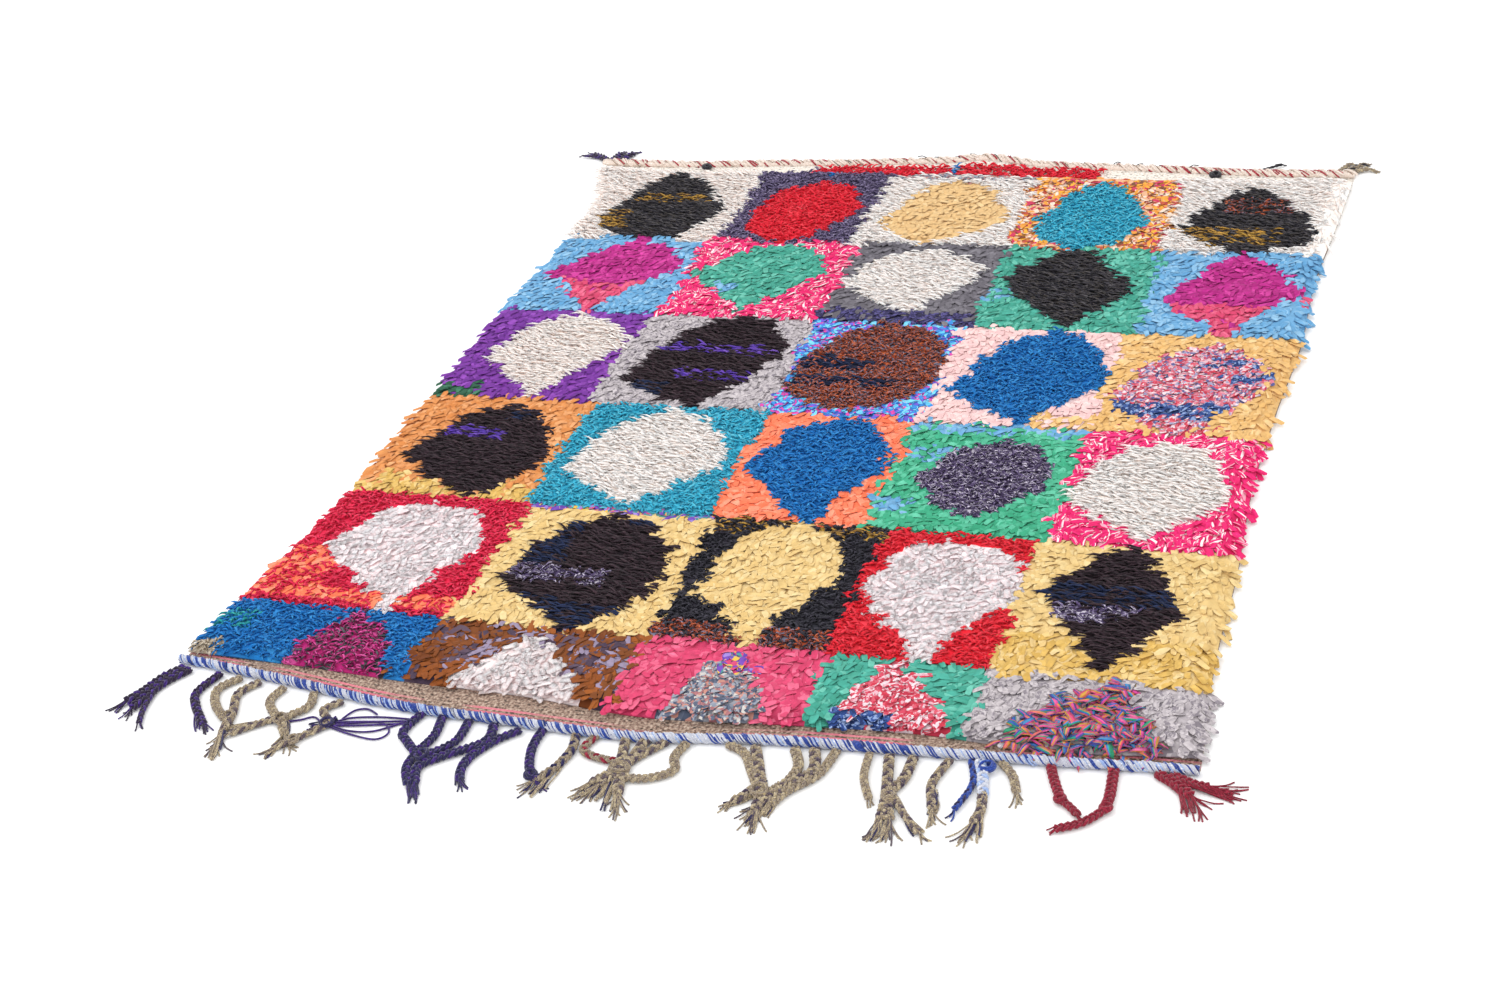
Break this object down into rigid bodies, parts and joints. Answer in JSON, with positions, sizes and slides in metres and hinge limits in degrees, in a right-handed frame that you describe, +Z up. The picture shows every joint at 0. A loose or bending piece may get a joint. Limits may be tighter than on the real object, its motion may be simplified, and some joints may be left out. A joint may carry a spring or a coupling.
{
  "type": "boucherouite rug",
  "caption": "Shaggy hand-knotted rag rug with a lozenge grid in many colours, flat-woven end bands, end cords, a plaited fringe and corner tassels.",
  "frame": {"origin": "on the rug's flat underside, at the middle of its pile field", "axes": "+Y along the rug away from its fringed end, +X across it to the right, +Z up through the pile"},
  "size_m": [1.4536, 1.7855, 0.0235],
  "materials": {
    "rug-cloth": "matte",
    "near-cord": "matte",
    "far-cord": "matte",
    "fringe-violet": "matte",
    "fringe-tan-left": "matte",
    "fringe-navy": "matte",
    "fringe-tan-middle": "matte",
    "fringe-tan-right": "matte",
    "fringe-blue-white": "matte",
    "fringe-crimson": "matte",
    "tassel-tan": "matte",
    "far-thread": "matte",
    "tassel-purple": "matte",
    "knot-left": "matte",
    "knot-right": "matte"
  },
  "bodies": {
    "root": {"rug-cloth": "rug-cloth", "near-cord": "near-cord", "far-cord": "far-cord", "fringe-violet": "fringe-violet", "fringe-tan-left": "fringe-tan-left", "fringe-navy": "fringe-navy", "fringe-tan-middle": "fringe-tan-middle", "fringe-tan-right": "fringe-tan-right", "fringe-blue-white": "fringe-blue-white", "fringe-crimson": "fringe-crimson", "tassel-tan": "tassel-tan", "far-thread": "far-thread", "tassel-purple": "tassel-purple", "knot-left": "knot-left", "knot-right": "knot-right"}
  },
  "joints": []
}
